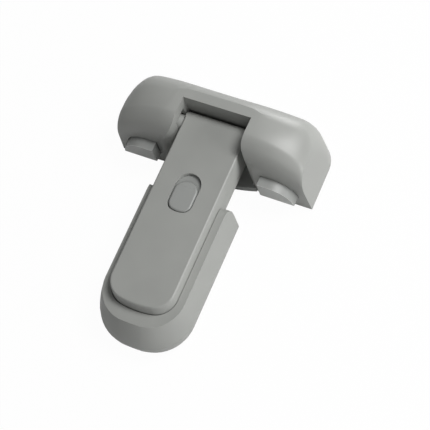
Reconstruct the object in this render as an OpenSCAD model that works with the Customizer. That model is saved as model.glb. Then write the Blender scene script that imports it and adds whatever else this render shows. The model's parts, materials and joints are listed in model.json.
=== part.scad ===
// Child-safety refrigerator lock, lying on its adhesive faces.
// Millimetres. The origin is the centre of the head's mounting face, +Z points away from the door.
// The head's long axis runs along X and the arm reaches along -Y into the base.

/* [Head] */
// Length of the head
head_l = 106; // [96:1:116]
// Depth of the head at its mounting face
head_d = 36.5; // [34:0.5:42]
// Height of the head
head_h = 41.7; // [40:0.1:46]
// Wall of the head cover
head_wall = 2.2; // [1.8:0.1:2.4]
// Height of the end faces
end_face_h = 30.4; // [29:0.2:32]
// Length over which the top falls to an end face
end_run = 31; // [30:0.5:36]
// Height of the front wall before it rounds over
brow_z = 23; // [22:0.5:24]
// Depth of the rounding over the front wall
brow_d = 12; // [10:0.5:13]
// Radius of the rear corners seen from above
rear_r = 13.6; // [12:0.2:15]

/* [Slot] */
// Half width of the slot
slot_x = 18.3; // [18:0.1:19]
// Radius that rounds the front wall into the slot's sides
mouth_r = 8; // [7:0.5:9]
// Depth of the slot from the front wall
slot_d = 20.3; // [20.3:0.1:21]

/* [Arm] */
// Width of the arm
arm_w = 33.8; // [33:0.2:34.6]
// Thickness of the arm
arm_t = 16.6; // [16:0.1:17]
// Height of the arm's face over the mounting plane
arm_face_z = 31.7; // [31.2:0.1:32]
// Reach of the arm from the head's front wall
arm_reach = 83.4; // [78:0.2:90]
// Corner radius of the arm's free end
arm_corner_r = 10.7; // [9:0.1:12]
// Radius of the crowned free end
arm_crown_r = 45; // [40:1:60]
// Wall of the arm cover
arm_wall = 2; // [1.6:0.1:2.4]
// Thickness of the arm's bottom plate
arm_plate_t = 2.4; // [2.2:0.1:3]
// Radius of the rounded hinge end
hinge_end_r = 6; // [5.5:0.1:6.5]

/* [Hinge] */
// Distance of the hinge axis behind the head's front wall
hinge_back = 12.8; // [12.6:0.1:13]
// Height of the hinge axis
hinge_z = 26; // [25.6:0.1:26.2]
// Radius of the hinge bolts
bolt_r = 4.3; // [4:0.1:4.3]
// Running clearance of the bolts
bolt_fit = 0.06; // [0.04:0.01:0.1]
// Depth to which a bolt enters the arm
bolt_grip = 3; // [2.5:0.1:3.2]
// Travel of the side buttons and bolts
button_travel = 3.5; // [3.3:0.1:3.5]

/* [Side buttons] */
// Distance of a side button's inner side from the middle
side_x = 28.6; // [28.6:0.1:29]
// Width of a side button
side_w = 18.3; // [17:0.1:19]
// Height of a side button's flat underside
side_z = 10.8; // [10:0.1:11]
// Height of a side button
side_h = 11.8; // [11:0.1:12]
// Distance a side button stands out
side_out = 5; // [4.5:0.1:6]

/* [Release slider] */
// Width of the oval recess
recess_w = 13; // [12:0.5:15]
// Length of the oval recess
recess_l = 21; // [20:0.1:23]
// Distance of the recess's middle from the head's front wall
recess_reach = 23.25; // [23:0.05:25]
// Gap round the release slider
release_gap = 0.45; // [0.35:0.05:0.6]
// Travel of the release slider towards the head
release_travel = 3.5; // [3:0.1:3.6]

/* [Base] */
// Width of the base at its belly, its widest level
base_w = 48.9; // [48.2:0.1:52]
// Height of the base's rim
rim_z = 25.4; // [24:0.1:27]
// Distance from the head's front wall to the base's open end
base_start = 21.3; // [20:0.1:23]
// Distance from the head's front wall to the base's rounded end
base_reach = 98.7; // [98:0.1:104]
// Gap between the arm and the base's walls
arm_gap = 0.5; // [0.4:0.1:0.8]
// Gap between the arm's underside and the base's channel
rest_gap = 0.3; // [0.3:0.05:0.5]
// Wall of the base housing
base_wall = 2.2; // [1.8:0.1:2.6]

/* [Fixing] */
// Thickness of the adhesive pads
pad_t = 1; // [0.8:0.1:1.2]
// Thickness of the back plates
plate_t = 2; // [1.8:0.1:2.4]
// Shank radius of the screws
screw_r = 1.1; // [0.9:0.05:1.3]
// Head radius of the screws
screw_head_r = 2.1; // [1.9:0.05:2.3]
// Fitting clearance between plates, covers and screws
fit = 0.2; // [0.15:0.05:0.3]

/* [Hidden] */
$fn = 64;
eps = 0.01;

// Places along Y, counted from the head's front wall
half_l = head_l / 2;
front_y = -head_d / 2;
hinge_y = front_y + hinge_back;
slot_y = front_y + slot_d;
recess_y = front_y - recess_reach;
arm_end_y = front_y - arm_reach;
arm_top_y = slot_y - 0.75;
base_y0 = front_y - base_start;
base_y1 = front_y - base_reach;
arm_under_z = arm_face_z - arm_t;
arc_crossing = 0.05;
flare_side = 0.2;
flare_end = 1.1;
half_arm = arm_w / 2;

// Head cover form
top_fall = 1;
dome_power = 1.5;
end_lean = 0.1;
lean_run = 23;
rear_lean = [5.6, 0.3];
bevel_drop = [6.7, 17.4];
bevel_run = [5.4, 12.3];
rear_blend = 48;
rear_power = 1.7;
brow_segments = 9;
bevel_segments = 5;
end_stations = 13;
mid_stations = 10;
slot_wall_t = 2;
mouth_segments = 10;
window_w = 8.8;
window_top = 8.8;
window_foot = 5.2;
brow_end_z = 18;
brow_end_d = 8;
crease_fall = [0.28, 0.16];
lobe_step = 1.3;
lobe_blend = 4.4;
tongue_bulge = 3.4;
tongue_x = slot_x + mouth_r - 3.2;

// Base form
belly_z = 11;
belly_tuck = 3.2;
belly_levels = 3;
wall_power = 1.4;
wall_levels = 4;
rim_side_draft = 3.2;
rim_end_draft = 7.3;
base_corner_r = 21.6;
base_crown_r = 90;
channel_z = arm_under_z - rest_gap;
channel_floor_t = 2;
wall_end_r = 5;
end_gap = 1.45;
mouth_corner_r = 3;

// Plates and screws
pad_inset = 1.5;
plate_z = pad_t;
plate_top = pad_t + plate_t;
plate_draft = rear_lean[0] * plate_top / (head_h - top_fall - bevel_drop[0]);
screw_l = 9;
screw_head_t = 1.3;
boss_r = 2.8;
head_screw_places = [[half_l - 6.5, 4.2], [12, 9.4]];
arm_screw_places = [[half_arm - 4.8, front_y - 7.5], [half_arm - 5.6, front_y - 72]];
base_screw_places = [[14.5, base_y0 - 8], [12, base_y1 + 13]];

// Cam and follower, which turn the push of a side button into the outward slide of its bolt
flange_t = 2;
flange_y = front_y + head_wall + 0.3;
cam_z0 = side_z + 1.6;
cam_h = 5;
cam_x0 = side_x + 1.4;
cam_tip_y = flange_y + flange_t + 10.4;
cam_sum = cam_x0 + 1 + cam_tip_y;
cam_gap = 0.45;
follower_y0 = flange_y + flange_t + button_travel + 0.9;
follower_y1 = follower_y0 + 6;
follower_x1 = 39.5;
bolt_x0 = half_arm - bolt_grip;
bolt_x1 = slot_x + slot_wall_t + 2.1;
lug_x0 = slot_x + slot_wall_t + 0.3;
tail_y0 = follower_y0;
tail_z0 = cam_z0 + cam_h + 0.6;
seat_x = half_l - 6;
spring_y = (follower_y0 + follower_y1) / 2;
spring_z = cam_z0 + cam_h / 2;

// Latch
hook_w = 9;
hook_t = 1.4;
hook_leg_y = recess_y - recess_l / 2 - 4;
hook_root_y = hook_leg_y - 17;
hook_strip_z = arm_under_z + arm_plate_t + 1;
strike_t = 1.2;
strike_z = channel_z - channel_floor_t - strike_t;
strike_side = 7;
strike_back = 8;
strike_front = 6.5;
strike_screw_x = hook_w / 2 + 4;
nose_l = 1.8;
nose_gap = 0.3;
keeper_gap = 0.5;

// Release slider
flange_gap = 0.3;
flange_lip = 1.2;
release_z = arm_face_z - arm_wall - flange_gap;
slider_flange_z = release_z - 1.6;
slider_l = recess_l - release_gap - release_travel - 0.4;
slider_y = recess_y - (recess_l - slider_l) / 2 + release_gap;
pad_top_z = arm_face_z + 0.2;
pad_slope = 18;
pad_slope_l = 3.6;
slider_block_t = 2;
slider_block_y = recess_y - 2;
slider_post_y = recess_y + 9;
slider_spring_z = slider_flange_z - 3.8;
spring_block_w = 7;
pusher_t = 2;
pusher_y = hook_leg_y - hook_t - 1;
rail_t = 1.5;
rail_x = recess_w / 2 + flange_lip - rail_t / 2 - 0.5;

function clamp01(v) = max(0, min(1, v));
function dome(x, w) = pow(max(0, 1 - pow(clamp01((abs(x) - half_l + end_run) / (end_run - w)), dome_power)),
    1 / dome_power);
function top_z(x, w) = end_face_h - w + (head_h - end_face_h) * dome(x, w);
function corner_run(x) = clamp01((abs(x) - half_l + rear_r) / rear_r);
function rear_y(x) = front_y + head_d - rear_r + rear_r * sqrt(1 - pow(corner_run(x), 2));
function leant(x, z, w) = x - sign(x) * end_lean * z
    * pow(clamp01((abs(x) - half_l + lean_run) / (lean_run - w)), 2);
function rear_share(x, w) = pow(clamp01((abs(x) - half_l + rear_blend) / (rear_blend - w)), rear_power);
function bezier(a, b, c, t) = (1 - t) * (1 - t) * a + 2 * t * (1 - t) * b + t * t * c;

// One cross-section of the head at x, drawn w inside the outer skin
function head_section(x, w) =
    let (
        zt = top_z(x, w),
        share = dome(x, w),
        rear = rear_share(x, w),
        lean = (1 - rear) * rear_lean[0] + rear * rear_lean[1],
        drop = (1 - rear) * bevel_drop[0] + rear * bevel_drop[1],
        run = (1 - rear) * bevel_run[0] + rear * bevel_run[1]
            + lobe_step * clamp01((abs(x) - slot_x + 1) / lobe_blend) * (1 - rear),
        fall = (1 - rear) * crease_fall[0] + rear * crease_fall[1],
        y0 = front_y + w,
        y1 = rear_y(x) - w,
        zs = min(zt - 1, brow_end_z + (brow_z - brow_end_z) * share - w / 2),
        bd = brow_end_d + (brow_d - brow_end_d) * share,
        yc = y1 - lean - run,
        zc = zt - top_fall * share,
        foot = w > 0 ? -1 : 0
    )
    concat(
        [[y0, foot]],
        [for (i = [0:brow_segments])
            [y0 + bd * (1 - cos(90 * i / brow_segments)), zs + (zt - zs) * sin(90 * i / brow_segments)]],
        [for (i = [0:bevel_segments])
            bezier([yc, zc], [yc + 0.75 * run, zc - fall * drop], [y1 - lean, zc - drop], i / bevel_segments)],
        [[y1, foot]]
    );

// Stations crowd towards the ends, where the top falls fastest
function head_stations(w) =
    let (e = half_l - w, m = half_l - end_run)
    concat(
        [for (i = [0:end_stations - 1]) -m - (e - m) * cos(90 * i / end_stations)],
        [for (i = [0:mid_stations]) (2 * i / mid_stations - 1) * m],
        [for (i = [end_stations - 1:-1:0]) m + (e - m) * cos(90 * i / end_stations)]
    );

module loft(xs, rings, w) {
    n = len(rings[0]);
    points = [for (i = [0:len(xs) - 1]) for (p = rings[i]) [leant(xs[i], p[1], w), p[0], p[1]]];
    sides = [for (i = [0:len(xs) - 2]) for (j = [0:n - 1])
        [i * n + j, i * n + (j + 1) % n, (i + 1) * n + (j + 1) % n, (i + 1) * n + j]];
    first = [for (j = [n - 1:-1:0]) j];
    last = [for (j = [0:n - 1]) (len(xs) - 1) * n + j];
    polyhedron(points, concat(sides, [first], [last]));
}

module head_form(w) {
    xs = head_stations(w);
    loft(xs, [for (x = xs) head_section(x, w)], w);
}

// Plan outline of the head, inset by o
module head_outline(o) {
    r = rear_r - o;
    translate([-half_l + o, front_y + o]) square([head_l - 2 * o, head_d - rear_r - o]);
    translate([-half_l + rear_r, front_y + o]) square([head_l - 2 * rear_r, head_d - 2 * o]);
    for (s = [-1, 1]) translate([s * (half_l - rear_r), front_y + head_d - rear_r]) circle(r);
}

// Plan of the slot, grown by o: straight sides that turn into the front wall in a round mouth.
// The mouth crosses the front wall by a hair instead of just touching it.
module slot_plan(o) {
    x = slot_x + mouth_r;
    y = front_y + mouth_r - 2 * arc_crossing;
    r = mouth_r - o;
    half = concat(
        [[x, front_y - mouth_r]],
        [for (i = [0:mouth_segments]) let (a = 90 * i / mouth_segments) [x - r * sin(a), y - r * cos(a)]],
        [[slot_x + o, slot_y + o]]
    );
    polygon(concat(half, [for (i = [len(half) - 1:-1:0]) [-half[i][0], half[i][1]]]));
}

module along_y(y0, y1) {
    translate([0, y1, 0]) rotate([90, 0, 0]) linear_extrude(y1 - y0) children();
}

module along_x(x0, x1) {
    translate([x0, 0, 0]) rotate([90, 0, 90]) linear_extrude(x1 - x0) children();
}

// Front view of a side button: flat underside, upright inner side, round shoulder
module side_button_profile(o) {
    intersection() {
        translate([side_x - o, side_z - o]) square([side_w + 2 * o, side_h + 2 * o]);
        union() {
            translate([side_x + side_w - side_h - 0.7, side_z - 0.7]) circle(side_h + 0.7 + o);
            translate([side_x - o, side_z - o]) square([side_w - side_h - 0.7 + o, side_h + 2 * o]);
        }
    }
}

module screw(length) {
    cylinder(h = screw_head_t, r = screw_head_r);
    translate([0, 0, screw_head_t - eps]) cylinder(h = length - screw_head_t + eps, r = screw_r);
}

// Hole for one screw: a seat for its head and a clearance hole through the plate
module screw_seat(depth) {
    translate([0, 0, -1]) cylinder(h = screw_head_t + 0.2 + 1, r = screw_head_r + fit);
    cylinder(h = depth + 1, r = screw_r + fit);
}

module mirrored(places) {
    for (p = places) for (s = [-1, 1]) translate([s * p[0], p[1], 0]) children();
}

// Compression spring along Z with closed ends, one unbroken tube
module coil_spring(length, radius, wire_r, curls) {
    sides = 6;
    rings = curls * 8;
    function lift(t) = wire_r + (length - 2 * wire_r) * (t < 0.12 ? t * 0.7 : t > 0.88 ? 1 - (1 - t) * 0.7
        : 0.084 + (t - 0.12) * 0.832 / 0.76);
    points = [for (i = [0:rings]) let (t = i / rings, a = 360 * curls * t) for (j = [0:sides - 1])
        let (b = 360 * j / sides, r = radius - wire_r + wire_r * cos(b))
        [r * cos(a), r * sin(a), lift(t) + wire_r * sin(b)]];
    skin = [for (i = [0:rings - 1]) for (j = [0:sides - 1])
        let (k = (j + 1) % sides)
        [i * sides + j, i * sides + k, (i + 1) * sides + k, (i + 1) * sides + j]];
    first = [for (j = [sides - 1:-1:0]) j];
    last = [for (j = [0:sides - 1]) rings * sides + j];
    polyhedron(points, concat(skin, [first], [last]));
    self_gap = (lift(0.12) - lift(0.12 - 1 / curls)) - 2 * wire_r;
    echo(str("least gap between curls ", self_gap));
}

module head_cover() {
    color([0.58, 0.59, 0.57]) difference() {
        head_form(0);
        difference() {
            head_form(head_wall);
            translate([0, 0, plate_top + fit]) linear_extrude(head_h) slot_plan(slot_wall_t);
            mirrored(head_screw_places) translate([0, 0, plate_top + fit]) cylinder(h = head_h, r = boss_r);
        }
        translate([0, 0, -1]) linear_extrude(head_h + 2) slot_plan(0);
        for (s = [0, 1]) mirror([s, 0, 0]) {
            along_y(front_y - 1, front_y + head_wall + 1) side_button_profile(release_gap);
            translate([slot_x - 1, hinge_y - window_w / 2, hinge_z - window_foot])
                cube([slot_wall_t + 2, window_w, window_foot + window_top]);
            translate([slot_x - 1, hinge_y, hinge_z]) rotate([0, 90, 0])
                cylinder(h = slot_wall_t + 2, r = bolt_r + 0.4);
        }
        mirrored(head_screw_places) translate([0, 0, plate_top]) cylinder(h = screw_l, r = screw_r + 0.05);
    }
}

// The bulged tongue closes the slot's foot between the lobes
module slot_tongue() {
    r = (tongue_x * tongue_x + tongue_bulge * tongue_bulge) / (2 * tongue_bulge);
    intersection() {
        slot_plan(-fit);
        union() {
            translate([-tongue_x, front_y]) square([2 * tongue_x, slot_d + 1]);
            intersection() {
                translate([0, front_y - tongue_bulge + r]) circle(r, $fn = 256);
                translate([-tongue_x, front_y - tongue_bulge]) square([2 * tongue_x, tongue_bulge + eps]);
            }
        }
    }
}

module head_back_plate() {
    tongue_top = plate_top + 1.2;
    color([0.5, 0.51, 0.49]) difference() {
        union() {
            translate([0, 0, plate_z]) linear_extrude(plate_t) head_outline(head_wall + fit + plate_draft);
            translate([0, 0, plate_z]) linear_extrude(tongue_top - plate_z) slot_tongue();
            linear_extrude(plate_z + eps) intersection() {
                slot_tongue();
                translate([-half_l, front_y - 5]) square([head_l, 6.5]);
            }
            for (s = [0, 1]) mirror([s, 0, 0]) {
                along_x(lug_x0, bolt_x1) {
                    translate([hinge_y - bolt_r - 0.8, plate_z]) square([2 * bolt_r + 1.6, hinge_z - plate_z]);
                    translate([hinge_y, hinge_z]) circle(bolt_r + 0.8);
                }
                translate([seat_x, spring_y - 3.5, plate_z]) cube([1.4, 7, spring_z + 3 - plate_z]);
            }
        }
        for (s = [0, 1]) mirror([s, 0, 0])
            translate([lug_x0 - 1, hinge_y, hinge_z]) rotate([0, 90, 0])
                cylinder(h = bolt_x1 - lug_x0 + 2, r = bolt_r + bolt_fit);
        mirrored(head_screw_places) translate([0, 0, plate_z]) screw_seat(plate_t);
    }
}

module head_adhesive_pad() {
    color([0.2, 0.2, 0.2]) linear_extrude(pad_t) head_outline(head_wall + pad_inset);
}

module head_screws() {
    color([0.75, 0.76, 0.78]) mirrored(head_screw_places) translate([0, 0, plate_z]) screw(screw_l);
}

module side_button() {
    along_y(front_y - side_out, flange_y) side_button_profile(0);
    translate([side_x - 0.7, flange_y - eps, side_z - 1.4])
        cube([side_w + 1.7, flange_t + eps, tail_z0 - side_z]);
    translate([0, 0, cam_z0]) linear_extrude(cam_h) polygon([
        [cam_x0, flange_y], [cam_sum - flange_y - flange_t, flange_y],
        [cam_sum - flange_y - flange_t, flange_y + flange_t], [cam_x0 + 1, cam_tip_y], [cam_x0, cam_tip_y]]);
}

module side_button_left() {
    color([0.57, 0.58, 0.56]) mirror([1, 0, 0]) side_button();
}

module side_button_right() {
    color([0.57, 0.58, 0.56]) side_button();
}

module hinge_bolt() {
    translate([bolt_x0, hinge_y, hinge_z]) rotate([0, 90, 0]) cylinder(h = bolt_x1 - bolt_x0 + 1, r = bolt_r);
    translate([bolt_x1, tail_y0, tail_z0]) cube([follower_x1 - bolt_x1, hinge_y + bolt_r - tail_y0, 6]);
    s = cam_sum + cam_gap * sqrt(2);
    translate([0, 0, cam_z0]) linear_extrude(tail_z0 - cam_z0 + 1) polygon([
        [s - follower_y1, follower_y1], [s - follower_y0, follower_y0],
        [follower_x1, follower_y0], [follower_x1, follower_y1]]);
}

module hinge_bolt_left() {
    color([0.62, 0.63, 0.61]) mirror([1, 0, 0]) hinge_bolt();
}

module hinge_bolt_right() {
    color([0.62, 0.63, 0.61]) hinge_bolt();
}

module bolt_spring() {
    translate([follower_x1 + 0.1, spring_y, spring_z]) rotate([0, 90, 0])
        coil_spring(seat_x - follower_x1 - 0.2, 2.4, 0.35, 5);
}

module bolt_spring_left() {
    color([0.7, 0.71, 0.73]) mirror([1, 0, 0]) bolt_spring();
}

module bolt_spring_right() {
    color([0.7, 0.71, 0.73]) bolt_spring();
}

// Plan outline with straight sides, round corners and a crowned far end. The corner circles cross
// the crown by a hair, so that the arcs meet at a clear point.
module crowned_end(half_w, start_y, end_y, r, crown_r) {
    x = half_w - r;
    corner_y = end_y + crown_r - sqrt(pow(crown_r - r, 2) - x * x) - arc_crossing;
    crown_x = x * crown_r / (crown_r - r);
    translate([-half_w, corner_y]) square([2 * half_w, start_y - corner_y]);
    intersection() {
        union() {
            for (s = [-1, 1]) translate([s * x, corner_y]) circle(r, $fn = 48);
            translate([-crown_x, end_y - 1]) square([2 * crown_x, corner_y - end_y + 2]);
        }
        translate([0, end_y + crown_r]) circle(crown_r, $fn = 192);
    }
}

// Plan outline of the arm, inset by o at the sides and by end_o at the free end
module arm_outline(o, end_o) {
    crowned_end(half_arm - o, arm_top_y + 1, arm_end_y + end_o, arm_corner_r - o, arm_crown_r - end_o);
}

// Side view of the arm: flat face and underside, rounded hinge end
module arm_side(o) {
    r = hinge_end_r - o;
    y1 = arm_top_y - o;
    z1 = arm_face_z - o;
    z0 = o > 0 ? arm_under_z - 1 : arm_under_z;
    translate([arm_end_y - 2, z0]) square([y1 - r - arm_end_y + 2, z1 - z0]);
    translate([arm_end_y - 2, z0]) square([y1 - arm_end_y + 2, z1 - r - z0]);
    translate([y1 - r, z1 - r]) circle(r);
}

module arm_form(o) {
    intersection() {
        translate([0, 0, arm_under_z - 2]) linear_extrude(arm_t + 4) arm_outline(o, o);
        along_x(-half_arm, half_arm) arm_side(o);
    }
}

// Outer skin of the arm, which flares a little from its face to the base's rim
module arm_skin() {
    intersection() {
        hull() {
            translate([0, 0, arm_under_z]) linear_extrude(eps) arm_outline(0, 0);
            translate([0, 0, rim_z]) linear_extrude(eps) arm_outline(-flare_side, -flare_end);
            translate([0, 0, arm_face_z - eps]) linear_extrude(eps) arm_outline(0, 0);
        }
        along_x(-arm_w, arm_w) arm_side(0);
    }
}

// Thumb oval: full round towards the head, squarer at the other end
module oval(w, l) {
    translate([0, (l - w) / 2]) circle(w / 2);
    crowned_end(w / 2, (l - w) / 2, -l / 2, 0.36 * w, 0.95 * w);
}

module arm_cover() {
    boss_l = arm_t - arm_plate_t - arm_wall / 2 - fit;
    color([0.6, 0.61, 0.59]) difference() {
        union() {
            difference() {
                arm_skin();
                arm_form(arm_wall);
            }
            mirrored(arm_screw_places) translate([0, 0, arm_under_z + arm_plate_t + fit])
                cylinder(h = boss_l, r = boss_r);
            for (s = [0, 1]) mirror([s, 0, 0]) translate([bolt_x0 - 0.6, hinge_y, hinge_z]) rotate([0, 90, 0])
                cylinder(h = half_arm - bolt_x0 - 0.4, r = bolt_r + 1.2);
        }
        for (s = [0, 1]) mirror([s, 0, 0]) translate([bolt_x0 - 1, hinge_y, hinge_z]) rotate([0, 90, 0])
            cylinder(h = bolt_grip + 2, r = bolt_r + bolt_fit);
        translate([0, recess_y, arm_face_z - arm_wall - 1]) linear_extrude(arm_wall + 2) oval(recess_w, recess_l);
        mirrored(arm_screw_places) translate([0, 0, arm_under_z + arm_plate_t])
            cylinder(h = screw_l - arm_plate_t + 1, r = screw_r + 0.05);
    }
}

module arm_bottom_plate() {
    color([0.5, 0.51, 0.49]) difference() {
        union() {
            translate([0, 0, arm_under_z]) linear_extrude(arm_plate_t) intersection() {
                arm_outline(arm_wall + fit, arm_wall + fit);
                translate([-half_arm, arm_end_y]) square([arm_w, arm_top_y - arm_end_y - arm_wall - fit]);
            }
            translate([-hook_w / 2, hook_root_y - 6, arm_under_z])
                cube([hook_w, 6, hook_strip_z - arm_under_z]);
            translate([-spring_block_w / 2, slider_post_y, arm_under_z])
                cube([spring_block_w, slider_block_t, slider_flange_z - flange_gap - arm_under_z]);
            mirrored([[rail_x, pusher_y - pusher_t]]) translate([-rail_t / 2, 0, arm_under_z])
                cube([rail_t, slider_post_y - pusher_y + pusher_t, slider_flange_z - flange_gap - arm_under_z]);
        }
        translate([-hook_w / 2 - 0.6, hook_leg_y - 4.6, arm_under_z - 1])
            cube([hook_w + 1.2, nose_l + 6.2, arm_plate_t + 2]);
        mirrored(arm_screw_places) translate([0, 0, arm_under_z]) screw_seat(arm_plate_t);
    }
}

module arm_screws() {
    color([0.75, 0.76, 0.78]) mirrored(arm_screw_places) translate([0, 0, arm_under_z]) screw(screw_l);
}

// Thumb slider: an oval pad in the arm's recess on a flange that hides under the arm's face
module release_slider() {
    pad_w = recess_w - 2 * release_gap;
    flange_w = recess_w + 2 * flange_lip;
    flange_y0 = pusher_y - pusher_t;
    flange_y1 = recess_y + recess_l / 2 + 1;
    color([0.6, 0.61, 0.59]) union() {
        difference() {
            translate([0, slider_y, release_z - eps]) linear_extrude(pad_top_z - release_z) oval(pad_w, slider_l);
            translate([-pad_w, slider_y + slider_l / 2 - pad_slope_l, pad_top_z]) rotate([-pad_slope, 0, 0])
                cube([2 * pad_w, 2 * pad_slope_l, 2 * pad_slope_l]);
        }
        translate([-flange_w / 2, flange_y0, slider_flange_z])
            cube([flange_w, flange_y1 - flange_y0, release_z - slider_flange_z]);
        translate([-spring_block_w / 2, slider_block_y - slider_block_t, slider_spring_z - 3])
            cube([spring_block_w, slider_block_t, slider_flange_z + eps - slider_spring_z + 3]);
        translate([-hook_w / 2 + 1, flange_y0, slider_spring_z - 1.5])
            cube([hook_w - 2, pusher_t, slider_flange_z + eps - slider_spring_z + 1.5]);
    }
}

module release_spring() {
    color([0.7, 0.71, 0.73]) translate([0, slider_block_y + 0.1, slider_spring_z]) rotate([-90, 0, 0])
        coil_spring(slider_post_y - slider_block_y - 0.2, 2.9, 0.4, 6);
}

// Springy plastic strip: root block, bending strip, leg with a nose, and a tab that the slider pushes
module latch_hook() {
    nose_z = strike_z - nose_gap;
    tab_z = slider_flange_z - 0.4;
    color([0.62, 0.63, 0.61]) translate([-hook_w / 2 + 0.4, 0, 0]) along_x(0, hook_w - 0.8) polygon([
        [hook_root_y - 6, hook_strip_z], [hook_leg_y - hook_t, hook_strip_z],
        [hook_leg_y - hook_t, nose_z - 2.4], [hook_leg_y, nose_z - 2.4],
        [hook_leg_y + nose_l, nose_z - 0.8], [hook_leg_y + nose_l, nose_z],
        [hook_leg_y, nose_z], [hook_leg_y, tab_z],
        [hook_leg_y - hook_t, tab_z], [hook_leg_y - hook_t, hook_strip_z + hook_t],
        [hook_root_y - 6, hook_strip_z + hook_t]]);
}

// Plan outline of the base, drawn in by side and end
module base_outline(side, end) {
    crowned_end(base_w / 2 - side, base_y0, base_y1 + end, base_corner_r - 1.3 * side, base_crown_r);
}

// Side view of the base: its upright open end, rounded over at the rim
module base_side() {
    translate([base_y1 - 1, -1]) square([base_y0 - base_y1 + 1, rim_z - wall_end_r + 1]);
    translate([base_y1 - 1, -1]) square([base_y0 - wall_end_r - base_y1 + 1, rim_z + 1]);
    translate([base_y0 - wall_end_r, rim_z - wall_end_r]) circle(wall_end_r);
}

// Plan limit of the base, which rounds the upright corners of its open end
module base_mouth() {
    x = base_w / 2;
    r = mouth_corner_r;
    translate([-x - 1, base_y1 - 1]) square([base_w + 2, base_y0 - r - base_y1 + 1]);
    translate([-x + r, base_y1]) square([base_w - 2 * r, base_y0 - base_y1]);
    for (s = [-1, 1]) translate([s * (x - r), base_y0 - r]) circle(r);
}

// Outer form of the base: tucked in at its foot, widest at the belly, drawn in again to the rim
module base_form() {
    tucks = [for (i = [0:belly_levels - 1]) let (u = 1 - i / belly_levels)
        [belly_z * i / belly_levels, belly_tuck * u * u, belly_tuck * u * u]];
    drafts = [for (i = [0:wall_levels]) let (u = i / wall_levels, k = pow(u, wall_power))
        [belly_z + (rim_z - eps - belly_z) * u, rim_side_draft * k, rim_end_draft * k]];
    intersection() {
        hull() for (level = concat(tucks, drafts)) translate([0, 0, level[0]]) linear_extrude(eps)
            base_outline(level[1], level[2]);
        along_x(-base_w, base_w) base_side();
        translate([0, 0, -1]) linear_extrude(rim_z + 2) base_mouth();
    }
}

// Inside of the base under its channel, inset by o from the cavity's walls
module base_cavity(o) {
    inset = belly_tuck + base_wall + o;
    intersection() {
        base_outline(inset, inset);
        translate([-base_w / 2, base_y1]) square([base_w, base_y0 - base_wall - o - base_y1]);
    }
}

module base_housing() {
    floor_z = channel_z - channel_floor_t;
    color([0.6, 0.61, 0.59]) difference() {
        base_form();
        translate([0, 0, channel_z]) linear_extrude(rim_z) intersection() {
            arm_outline(-arm_gap, -end_gap);
            translate([-base_w, base_y1]) square([2 * base_w, base_y0 - base_y1 + 1]);
        }
        difference() {
            translate([0, 0, -1]) linear_extrude(floor_z + 1) base_cavity(0);
            mirrored(base_screw_places) translate([0, 0, plate_top + fit]) cylinder(h = floor_z, r = boss_r);
        }
        translate([-hook_w / 2 - 1, hook_leg_y - 5, floor_z - 1])
            cube([hook_w + 2, nose_l + 7, channel_floor_t + 2]);
        mirrored(base_screw_places) translate([0, 0, plate_top])
            cylinder(h = screw_l - screw_head_t, r = screw_r + 0.05);
        mirrored([[strike_screw_x, hook_leg_y]]) translate([0, 0, floor_z - 1])
            cylinder(h = 2.6, r = screw_r + 0.05);
    }
}

module base_back_plate() {
    color([0.5, 0.51, 0.49]) difference() {
        translate([0, 0, plate_z]) linear_extrude(plate_t) base_cavity(fit);
        mirrored(base_screw_places) translate([0, 0, plate_z]) screw_seat(plate_t);
    }
}

module base_adhesive_pad() {
    color([0.2, 0.2, 0.2]) linear_extrude(pad_t) base_cavity(pad_inset);
}

module base_screws() {
    color([0.75, 0.76, 0.78]) mirrored(base_screw_places) translate([0, 0, plate_z]) screw(screw_l);
}

// Steel plate under the channel floor, whose edge the hook's nose catches
module strike_plate() {
    color([0.7, 0.71, 0.73]) difference() {
        translate([-hook_w / 2 - strike_side, hook_leg_y - strike_back, strike_z])
            cube([hook_w + 2 * strike_side, strike_back + strike_front, strike_t]);
        translate([-hook_w / 2 - 0.5, hook_leg_y - 4.5, strike_z - 1])
            cube([hook_w + 1, 4.5 + keeper_gap, strike_t + 2]);
        mirrored([[strike_screw_x, hook_leg_y]]) translate([0, 0, strike_z - 1])
            cylinder(h = strike_t + 2, r = screw_r + fit);
    }
}

module strike_screws() {
    color([0.75, 0.76, 0.78]) mirrored([[strike_screw_x, hook_leg_y]])
        translate([0, 0, strike_z - screw_head_t]) screw(screw_head_t + strike_t + 1.4);
}

head_cover();
head_back_plate();
head_adhesive_pad();
head_screws();
side_button_left();
side_button_right();
hinge_bolt_left();
hinge_bolt_right();
bolt_spring_left();
bolt_spring_right();
arm_cover();
arm_bottom_plate();
arm_screws();
release_slider();
release_spring();
latch_hook();
base_housing();
base_back_plate();
base_adhesive_pad();
base_screws();
strike_plate();
strike_screws();
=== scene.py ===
"""Looks of the refrigerator lock: matte grey moulded plastic on a plain white stage."""

import json
import math
from collections import namedtuple

import bmesh
import bpy
from mathutils import Matrix, Vector

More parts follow.
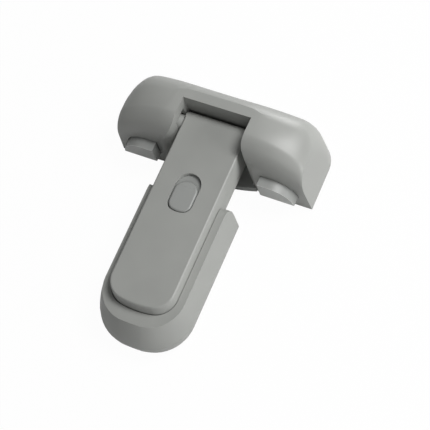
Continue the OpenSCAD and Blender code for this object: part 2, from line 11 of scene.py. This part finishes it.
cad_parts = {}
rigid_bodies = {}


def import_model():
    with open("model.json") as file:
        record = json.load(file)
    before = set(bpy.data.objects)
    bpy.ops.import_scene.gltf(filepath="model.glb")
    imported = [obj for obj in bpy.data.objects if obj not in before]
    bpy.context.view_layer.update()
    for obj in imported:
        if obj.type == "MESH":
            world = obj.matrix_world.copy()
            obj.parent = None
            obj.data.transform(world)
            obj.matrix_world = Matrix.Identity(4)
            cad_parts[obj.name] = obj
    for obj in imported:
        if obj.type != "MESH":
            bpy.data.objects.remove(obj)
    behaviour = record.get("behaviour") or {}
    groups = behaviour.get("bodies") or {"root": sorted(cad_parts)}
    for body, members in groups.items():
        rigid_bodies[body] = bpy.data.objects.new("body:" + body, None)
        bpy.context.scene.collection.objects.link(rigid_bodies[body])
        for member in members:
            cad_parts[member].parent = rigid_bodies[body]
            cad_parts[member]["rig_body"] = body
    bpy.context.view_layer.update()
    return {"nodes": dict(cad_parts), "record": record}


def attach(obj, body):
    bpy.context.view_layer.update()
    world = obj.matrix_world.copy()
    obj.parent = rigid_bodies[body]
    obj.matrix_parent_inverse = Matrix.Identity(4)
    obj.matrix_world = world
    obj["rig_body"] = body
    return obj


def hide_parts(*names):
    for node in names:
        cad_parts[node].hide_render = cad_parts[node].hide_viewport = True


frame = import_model()
MM = 0.001

# Camera, fitted to the edges of the photographed lock
CAMERA_PLACE = Vector((223.84, -239.71, 625.47)) * MM
CAMERA_AIM = Vector((14.70, -43.57, 20.0)) * MM
CAMERA_ROLL = math.radians(-25.337)
CAMERA_LENS = 115.445
SENSOR = 36.0
CLIP_START = 0.05
CLIP_END = 50

# Studio lamps: azimuth from +X towards +Y and height in degrees, and the level of white sky they match
LAMP_AIM = Vector((0, -0.035, 0.02))
LAMP_DISTANCE = 1.0
LAMP_SIDE = 0.40
SOFTBOXES = {
    "key_softbox": (31, 58, 0.77),
    "front_softbox": (-67, 36, 0.10),
    "rear_softbox": (90, 6, 0.50),
    "side_softbox": (0, 15, 0.36),
}
SKY_LEVEL = 0.13
WHITE = (1, 1, 1, 1)

# Floor: half its side and its depth under the pads in metres, its tone, and its glow for the camera
FLOOR_HALF = 4.0
FLOOR_DROP = 0.0006
FLOOR_TONE = 0.80
FLOOR_GLOW = 0.97

# Places on the part in millimetres, which say what edges a rounding takes
ARM_FACE_Z = 31.7
PAD_EDGE_DEPTH = 1.3
RIM_Z = 25.4
LEVEL_SLACK = 0.1
CHANNEL_HALF = 18.5
CHANNEL_END_Y = -105.0
RECESS_HALF = 8.0
RECESS_HEAD_Y = -30.0
RECESS_FOOT_Y = -53.0
STRIP_END_X = 21
CREASE_FOOT_Z = 20
# Where the side buttons' front faces lie, which get painted light
CAP_FRONT_Y = -23.3
CAP_FRONT_SLACK = 0.2

# Turns between two faces in degrees: an edge that a mould rounds, a soft crease, a smooth surface
CRISP_TURNS = (35, 180)
CREASE_TURNS = (16, 34)
SMOOTH_TURN = 31
FLAT_TURN = 0.3
EDGE_SEGMENTS = 3
MERGE_DISTANCE = 1e-6

# Shading of the lobes' tops, the arm's sides and the tray's end, with places in millimetres
LOBE_EDGE_X = (17.0, 25.0)
LOBE_TOP_Y = -2.4
LOBE_HALF_DEPTH = 8.0
LOBE_DOME = 0.17
TOP_FACING = (0.72, 0.93)
SIDE_DRAFT = 0.24
SIDE_FACING = (0.1, 0.6)
TRAY_TURN_Y = -94.0
TRAY_EVENNESS = 0.6
OUTWARD_LEAST = 0.1

# Finishes: two tones as linear colours, roughness and its spread, grains per metre, depth in metres
Finish = namedtuple("Finish", "name light dark rough spread grain depth metal sheen", defaults=(0.0, 0.5))
FINISHES = {
    "grey_shell": Finish("shell_plastic", (0.328, 0.334, 0.318), (0.306, 0.312, 0.298), 0.41, 0.04, 2600,
                         0.00004),
    "grey_button": Finish("button_plastic", (0.298, 0.306, 0.296), (0.278, 0.286, 0.276), 0.41, 0.04, 2600,
                          0.00004),
    "grey_plate": Finish("plate_plastic", (0.300, 0.307, 0.296), (0.276, 0.283, 0.272), 0.6, 0.05, 2600,
                         0.00004),
    "grey_inner": Finish("inner_plastic", (0.42, 0.43, 0.41), (0.37, 0.38, 0.36), 0.5, 0.05, 2600,
                         0.00003),
    "foam_tape": Finish("tape_foam", (0.030, 0.030, 0.031), (0.018, 0.018, 0.019), 0.8, 0.05, 1500,
                        0.0001, sheen=0.3),
    "spring_steel": Finish("drawn_steel", (0.60, 0.61, 0.63), (0.42, 0.43, 0.45), 0.28, 0.06, 3500,
                           0.00002, metal=1.0),
    "screw_steel": Finish("plated_steel", (0.60, 0.61, 0.63), (0.42, 0.43, 0.45), 0.36, 0.06, 3500,
                          0.00002, metal=1.0),
}
# Painted light: the lighter tone painted on the side buttons' front faces in place of light falling there
CAP_FRONT_PAINTED_LIGHT = (0.46, 0.47, 0.455)
CLOUDS_PER_METRE = 45.0
CLOUD_RANGE = (0.3, 0.7)
BUMP_STRENGTH = 0.35

# A rounding: radius in millimetres, least and most turn, its region, and whether neighbours may shrink it
Rounding = namedtuple("Rounding", "radius least_turn most_turn inside clamped")


def aim_matrix(place, target):
    turn = (target - place).to_track_quat("-Z", "Y").to_matrix().to_4x4()
    return Matrix.Translation(place) @ turn


def level_matrix(place, target, roll):
    """Looks at the target with its sides level to the ground, then rolls about the view."""
    ahead = (target - place).normalized()
    right = ahead.cross(Vector((0, 0, 1))).normalized()
    above = right.cross(ahead)
    turn = Matrix((right, above, -ahead)).transposed().to_4x4()
    return Matrix.Translation(place) @ turn @ Matrix.Rotation(roll, 4, "Z")


def make_camera():
    data = bpy.data.cameras.new("photo_camera")
    data.sensor_width = SENSOR
    data.lens = CAMERA_LENS
    data.clip_start = CLIP_START
    data.clip_end = CLIP_END
    camera = bpy.data.objects.new("photo_camera", data)
    bpy.context.scene.collection.objects.link(camera)
    camera.matrix_world = level_matrix(CAMERA_PLACE, CAMERA_AIM, CAMERA_ROLL)
    bpy.context.scene.camera = camera


def softbox(name, azimuth, height, level):
    """A square lamp that lights a face turned to it like a white sky of the given level would."""
    turn = math.radians(azimuth)
    rise = math.radians(height)
    direction = Vector((math.cos(rise) * math.cos(turn), math.cos(rise) * math.sin(turn), math.sin(rise)))
    data = bpy.data.lights.new(name, "AREA")
    data.shape = "SQUARE"
    data.size = LAMP_SIDE
    data.energy = level * math.pi ** 2 * LAMP_DISTANCE ** 2
    lamp = bpy.data.objects.new(name, data)
    bpy.context.scene.collection.objects.link(lamp)
    lamp.matrix_world = aim_matrix(LAMP_AIM + direction * LAMP_DISTANCE, LAMP_AIM)


def white_node(tree, kind, strength):
    node = tree.nodes.new(kind)
    node.inputs["Color"].default_value = WHITE
    node.inputs["Strength"].default_value = strength
    return node


def split_for_camera(tree, lit, seen, share, out):
    """Gives the camera the seen shader by the given share, and every other ray the lit one."""
    path = tree.nodes.new("ShaderNodeLightPath")
    part = tree.nodes.new("ShaderNodeMath")
    part.operation = "MULTIPLY"
    part.inputs[1].default_value = share
    mix = tree.nodes.new("ShaderNodeMixShader")
    tree.links.new(path.outputs["Is Camera Ray"], part.inputs[0])
    tree.links.new(part.outputs["Value"], mix.inputs["Fac"])
    tree.links.new(lit, mix.inputs[1])
    tree.links.new(seen, mix.inputs[2])
    tree.links.new(mix.outputs["Shader"], out.inputs["Surface"])


def make_light():
    for name, (azimuth, height, level) in SOFTBOXES.items():
        softbox(name, azimuth, height, level)
    world = bpy.data.worlds.new("studio")
    bpy.context.scene.world = world
    world.use_nodes = True
    tree = world.node_tree
    tree.nodes.clear()
    out = tree.nodes.new("ShaderNodeOutputWorld")
    seen = white_node(tree, "ShaderNodeBackground", 1.0)
    lit = white_node(tree, "ShaderNodeBackground", SKY_LEVEL)
    split_for_camera(tree, lit.outputs["Background"], seen.outputs["Background"], 1.0, out)


def make_floor():
    floor_bm = bmesh.new()
    bmesh.ops.create_grid(floor_bm, x_segments=1, y_segments=1, size=FLOOR_HALF)
    bmesh.ops.translate(floor_bm, vec=(0, 0, -FLOOR_DROP), verts=floor_bm.verts)
    mesh = bpy.data.meshes.new("stage_floor")
    floor_bm.to_mesh(mesh)
    floor_bm.free()
    floor = bpy.data.objects.new("stage_floor", mesh)
    bpy.context.scene.collection.objects.link(floor)
    paint = bpy.data.materials.new("stage_white")
    paint.use_nodes = True
    tree = paint.node_tree
    tree.nodes.clear()
    out = tree.nodes.new("ShaderNodeOutputMaterial")
    matte = tree.nodes.new("ShaderNodeBsdfDiffuse")
    matte.inputs["Color"].default_value = (FLOOR_TONE, FLOOR_TONE, FLOOR_TONE, 1)
    glow = white_node(tree, "ShaderNodeEmission", 1.0)
    split_for_camera(tree, matte.outputs["BSDF"], glow.outputs["Emission"], FLOOR_GLOW, out)
    mesh.materials.append(paint)


def moulded_grain_group():
    """Fine spark-eroded mould texture with slow drift of tone, on object coordinates in metres."""
    group = bpy.data.node_groups.new("moulded_grain", "ShaderNodeTree")
    face = group.interface
    face.new_socket("Grain per metre", in_out="INPUT", socket_type="NodeSocketFloat")
    face.new_socket("Cloud per metre", in_out="INPUT", socket_type="NodeSocketFloat")
    face.new_socket("Height", in_out="OUTPUT", socket_type="NodeSocketFloat")
    face.new_socket("Cloud", in_out="OUTPUT", socket_type="NodeSocketFloat")
    nodes = group.nodes
    links = group.links
    given = nodes.new("NodeGroupInput")
    made = nodes.new("NodeGroupOutput")
    place = nodes.new("ShaderNodeTexCoord")
    pits = nodes.new("ShaderNodeTexNoise")
    pits.inputs["Detail"].default_value = 3.0
    pits.inputs["Roughness"].default_value = 0.6
    cells = nodes.new("ShaderNodeTexVoronoi")
    cells.feature = "SMOOTH_F1"
    cells.inputs["Smoothness"].default_value = 0.6
    blend = nodes.new("ShaderNodeMath")
    blend.operation = "MULTIPLY_ADD"
    blend.inputs[1].default_value = 0.35
    drift = nodes.new("ShaderNodeTexNoise")
    drift.inputs["Detail"].default_value = 2.0
    links.new(place.outputs["Object"], pits.inputs["Vector"])
    links.new(place.outputs["Object"], cells.inputs["Vector"])
    links.new(place.outputs["Object"], drift.inputs["Vector"])
    links.new(given.outputs["Grain per metre"], pits.inputs["Scale"])
    links.new(given.outputs["Grain per metre"], cells.inputs["Scale"])
    links.new(given.outputs["Cloud per metre"], drift.inputs["Scale"])
    links.new(cells.outputs["Distance"], blend.inputs[0])
    links.new(pits.outputs["Fac"], blend.inputs[2])
    links.new(blend.outputs["Value"], made.inputs["Height"])
    links.new(drift.outputs["Fac"], made.inputs["Cloud"])
    return group


def cloud_ramp(nodes, low, high):
    """Stretches the middle of the cloud texture's range to the given one."""
    ramp = nodes.new("ShaderNodeMapRange")
    ramp.inputs["From Min"].default_value = CLOUD_RANGE[0]
    ramp.inputs["From Max"].default_value = CLOUD_RANGE[1]
    ramp.inputs["To Min"].default_value = low
    ramp.inputs["To Max"].default_value = high
    return ramp


def grained_material(finish, grain_group):
    """A Principled surface with two close tones, drifting roughness and a fine moulded grain."""
    paint = bpy.data.materials.new(finish.name)
    paint.use_nodes = True
    nodes = paint.node_tree.nodes
    links = paint.node_tree.links
    shader = nodes["Principled BSDF"]
    shader.inputs["Metallic"].default_value = finish.metal
    shader.inputs["Specular IOR Level"].default_value = finish.sheen
    texture = nodes.new("ShaderNodeGroup")
    texture.node_tree = grain_group
    texture.inputs["Grain per metre"].default_value = finish.grain
    texture.inputs["Cloud per metre"].default_value = CLOUDS_PER_METRE
    tones = nodes.new("ShaderNodeMix")
    tones.data_type = "RGBA"
    tones.inputs["A"].default_value = (*finish.dark, 1)
    tones.inputs["B"].default_value = (*finish.light, 1)
    spread = cloud_ramp(nodes, 0.0, 1.0)
    dull = cloud_ramp(nodes, finish.rough - finish.spread, finish.rough + finish.spread)
    bump = nodes.new("ShaderNodeBump")
    bump.inputs["Strength"].default_value = BUMP_STRENGTH
    bump.inputs["Distance"].default_value = finish.depth
    links.new(texture.outputs["Cloud"], spread.inputs["Value"])
    links.new(spread.outputs["Result"], tones.inputs["Factor"])
    links.new(tones.outputs["Result"], shader.inputs["Base Color"])
    links.new(texture.outputs["Cloud"], dull.inputs["Value"])
    links.new(dull.outputs["Result"], shader.inputs["Roughness"])
    links.new(texture.outputs["Height"], bump.inputs["Height"])
    links.new(bump.outputs["Normal"], shader.inputs["Normal"])
    return paint


def paint_light_on_cap_fronts(paint, tone):
    """Paints light onto the finger faces of the side buttons: a lighter tone than the rest of the caps,
    standing in for light falling on them.
    """
    nodes = paint.node_tree.nodes
    links = paint.node_tree.links
    shader = nodes["Principled BSDF"]
    plain = shader.inputs["Base Color"].links[0].from_socket
    place = nodes.new("ShaderNodeTexCoord")
    parts = nodes.new("ShaderNodeSeparateXYZ")
    # Mask of the front faces that get the painted light
    front = nodes.new("ShaderNodeMath")
    front.operation = "COMPARE"
    front.inputs[1].default_value = CAP_FRONT_Y * MM
    front.inputs[2].default_value = CAP_FRONT_SLACK * MM
    tones = nodes.new("ShaderNodeMix")
    tones.data_type = "RGBA"
    tones.inputs["B"].default_value = (*tone, 1)
    links.new(place.outputs["Object"], parts.inputs["Vector"])
    links.new(parts.outputs["Y"], front.inputs[0])
    links.new(front.outputs["Value"], tones.inputs["Factor"])
    links.new(plain, tones.inputs["A"])
    links.new(tones.outputs["Result"], shader.inputs["Base Color"])


def dress(thing, paint):
    thing.data.materials.clear()
    thing.data.materials.append(paint)


def round_edges(bm, rounding):
    """Rounds the edges whose turn fits and whose middle lies inside the rounding's region.

    A rounding that isn't clamped keeps its full radius and takes outer edges only.
    """
    edges = []
    for edge in bm.edges:
        if len(edge.link_faces) != 2:
            continue
        if not rounding.clamped and not edge.is_convex:
            continue
        turn = math.degrees(edge.calc_face_angle(0))
        middle = (edge.verts[0].co + edge.verts[1].co) / (2 * MM)
        fits = rounding.least_turn <= turn <= rounding.most_turn
        if fits and rounding.inside(middle.x, middle.y, middle.z):
            edges.append(edge)
    bmesh.ops.bevel(bm, geom=edges, offset=rounding.radius * MM, offset_type="OFFSET",
                    segments=EDGE_SEGMENTS, profile=0.5, affect="EDGES",
                    clamp_overlap=rounding.clamped, material=-1)
    bm.normal_update()


def rounded_copy(node, roundings, bend, paint):
    """A copy of a CAD node with its crisp edges rounded, as a mould leaves them."""
    source = frame["nodes"][node]
    bm = bmesh.new()
    bm.from_mesh(source.data)
    bmesh.ops.remove_doubles(bm, verts=bm.verts, dist=MERGE_DISTANCE)
    bmesh.ops.dissolve_limit(bm, angle_limit=math.radians(FLAT_TURN), verts=bm.verts, edges=bm.edges,
                             delimit=set())
    bm.normal_update()
    for rounding in roundings:
        round_edges(bm, rounding)
    for face in bm.faces:
        face.smooth = True
    for edge in bm.edges:
        edge.smooth = len(edge.link_faces) == 2 and edge.calc_face_angle(0) < math.radians(SMOOTH_TURN)
    mesh = bpy.data.meshes.new(node + "_moulded")
    bm.to_mesh(mesh)
    bm.free()
    piece = bpy.data.objects.new(node + "_moulded", mesh)
    bpy.context.scene.collection.objects.link(piece)
    weigh = piece.modifiers.new("even_shading", "WEIGHTED_NORMAL")
    weigh.keep_sharp = True
    if bend:
        bend_shading(piece, bend)
    dress(piece, paint)
    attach(piece, source["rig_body"])
    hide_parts(node)


def bend_shading(piece, bend):
    """Keeps the evenly weighted corner normals, turned by the given function of place and normal."""
    evened = piece.evaluated_get(bpy.context.evaluated_depsgraph_get())
    normals = [corner.vector.copy() for corner in evened.data.corner_normals]
    piece.modifiers.clear()
    mesh = piece.data
    turned = []
    for loop, normal in zip(mesh.loops, normals):
        place = mesh.vertices[loop.vertex_index].co / MM
        turned.append(bend(place, normal).normalized())
    mesh.normals_split_custom_set(turned)


def eased(value, low, high):
    """Goes smoothly from 0 at the low value to 1 at the high one."""
    share = min(1.0, max(0.0, (value - low) / (high - low)))
    return share * share * (3 - 2 * share)


def domed_lobes(place, normal):
    """Lets the top of each lobe of the head look domed from front to back."""
    lobe = eased(abs(place.x), *LOBE_EDGE_X) * eased(normal.z, *TOP_FACING)
    lean = max(-1.0, min(1.0, (place.y - LOBE_TOP_Y) / LOBE_HALF_DEPTH))
    return normal + Vector((0, LOBE_DOME * lean * lobe, 0))


def drafted_sides(place, normal):
    """Lets the arm's upright sides catch the light like a wall with mould draft."""
    upright = 1 - eased(abs(normal.z), *SIDE_FACING)
    return normal + Vector((0, 0, SIDE_DRAFT * upright))


def crowned_tray_end(place, normal):
    """Lets the tray's outer wall turn evenly from one side round to the other."""
    level = math.hypot(normal.x, normal.y)
    outward = normal.x * place.x + normal.y * (place.y - TRAY_TURN_Y)
    if place.y > TRAY_TURN_Y or outward < OUTWARD_LEAST * level:
        return normal
    side = max(-1.0, min(1.0, place.x / math.hypot(place.x, place.y - TRAY_TURN_Y)))
    even = Vector((side * level, -math.sqrt(1 - side * side) * level, normal.z))
    return normal.lerp(even, TRAY_EVENNESS)


def anywhere(x, y, z):
    return True


def on_strip_crease(x, y, z):
    """The head's rear crease behind the slot, where the top is a narrow strip."""
    return y > 0 and z > CREASE_FOOT_Z and abs(x) <= STRIP_END_X


def on_lobe_crease(x, y, z):
    """The head's rear crease on both lobes, which are rounded more."""
    return y > 0 and z > CREASE_FOOT_Z and abs(x) > STRIP_END_X


def on_arm_face(x, y, z):
    """The arm's face but not the edge of the thumb recess."""
    beside_recess = abs(x) > RECESS_HALF or y < RECESS_FOOT_Y or y > RECESS_HEAD_Y
    return z > ARM_FACE_Z - LEVEL_SLACK and beside_recess


def on_pad_top(x, y, z):
    """The top of the thumb slider, which stands in the arm's face."""
    return z > ARM_FACE_Z - PAD_EDGE_DEPTH


def on_rim_inside(x, y, z):
    """The channel's edge at the rim, which hugs the arm."""
    return z > RIM_Z - LEVEL_SLACK and abs(x) < CHANNEL_HALF and y > CHANNEL_END_Y


def crisp(radius, inside=anywhere, clamped=True):
    return Rounding(radius, *CRISP_TURNS, inside, clamped)


def crease(radius, inside, clamped):
    return Rounding(radius, *CREASE_TURNS, inside, clamped)


def make_paints():
    grain_group = moulded_grain_group()
    paints = {slot: grained_material(finish, grain_group) for slot, finish in FINISHES.items()}
    # Paints light onto the side buttons' front faces
    paint_light_on_cap_fronts(paints["grey_button"], CAP_FRONT_PAINTED_LIGHT)
    return paints


def build_looks():
    paints = make_paints()
    slots = {row["node"]: row["material_slot"] for row in frame["record"]["subparts"]}
    for name, thing in frame["nodes"].items():
        dress(thing, paints[slots[name]])
    rounded = {
        "head_cover": [crisp(0.7), crease(1.0, on_strip_crease, True), crease(2.0, on_lobe_crease, False)],
        "arm_cover": [crisp(0.9, on_arm_face, False), crisp(0.25)],
        "base_housing": [crisp(0.1, on_rim_inside, False), crisp(0.9)],
        "side_button_left": [crisp(0.6)],
        "side_button_right": [crisp(0.6)],
        "release_slider": [crisp(1.0, on_pad_top, False)],
        "head_back_plate": [crisp(0.3)],
    }
    bends = {"head_cover": domed_lobes, "base_housing": crowned_tray_end, "arm_cover": drafted_sides}
    for node, roundings in rounded.items():
        rounded_copy(node, roundings, bends.get(node), paints[slots[node]])


make_camera()
make_light()
make_floor()
build_looks()
bpy.context.scene.view_settings.view_transform = "Standard"
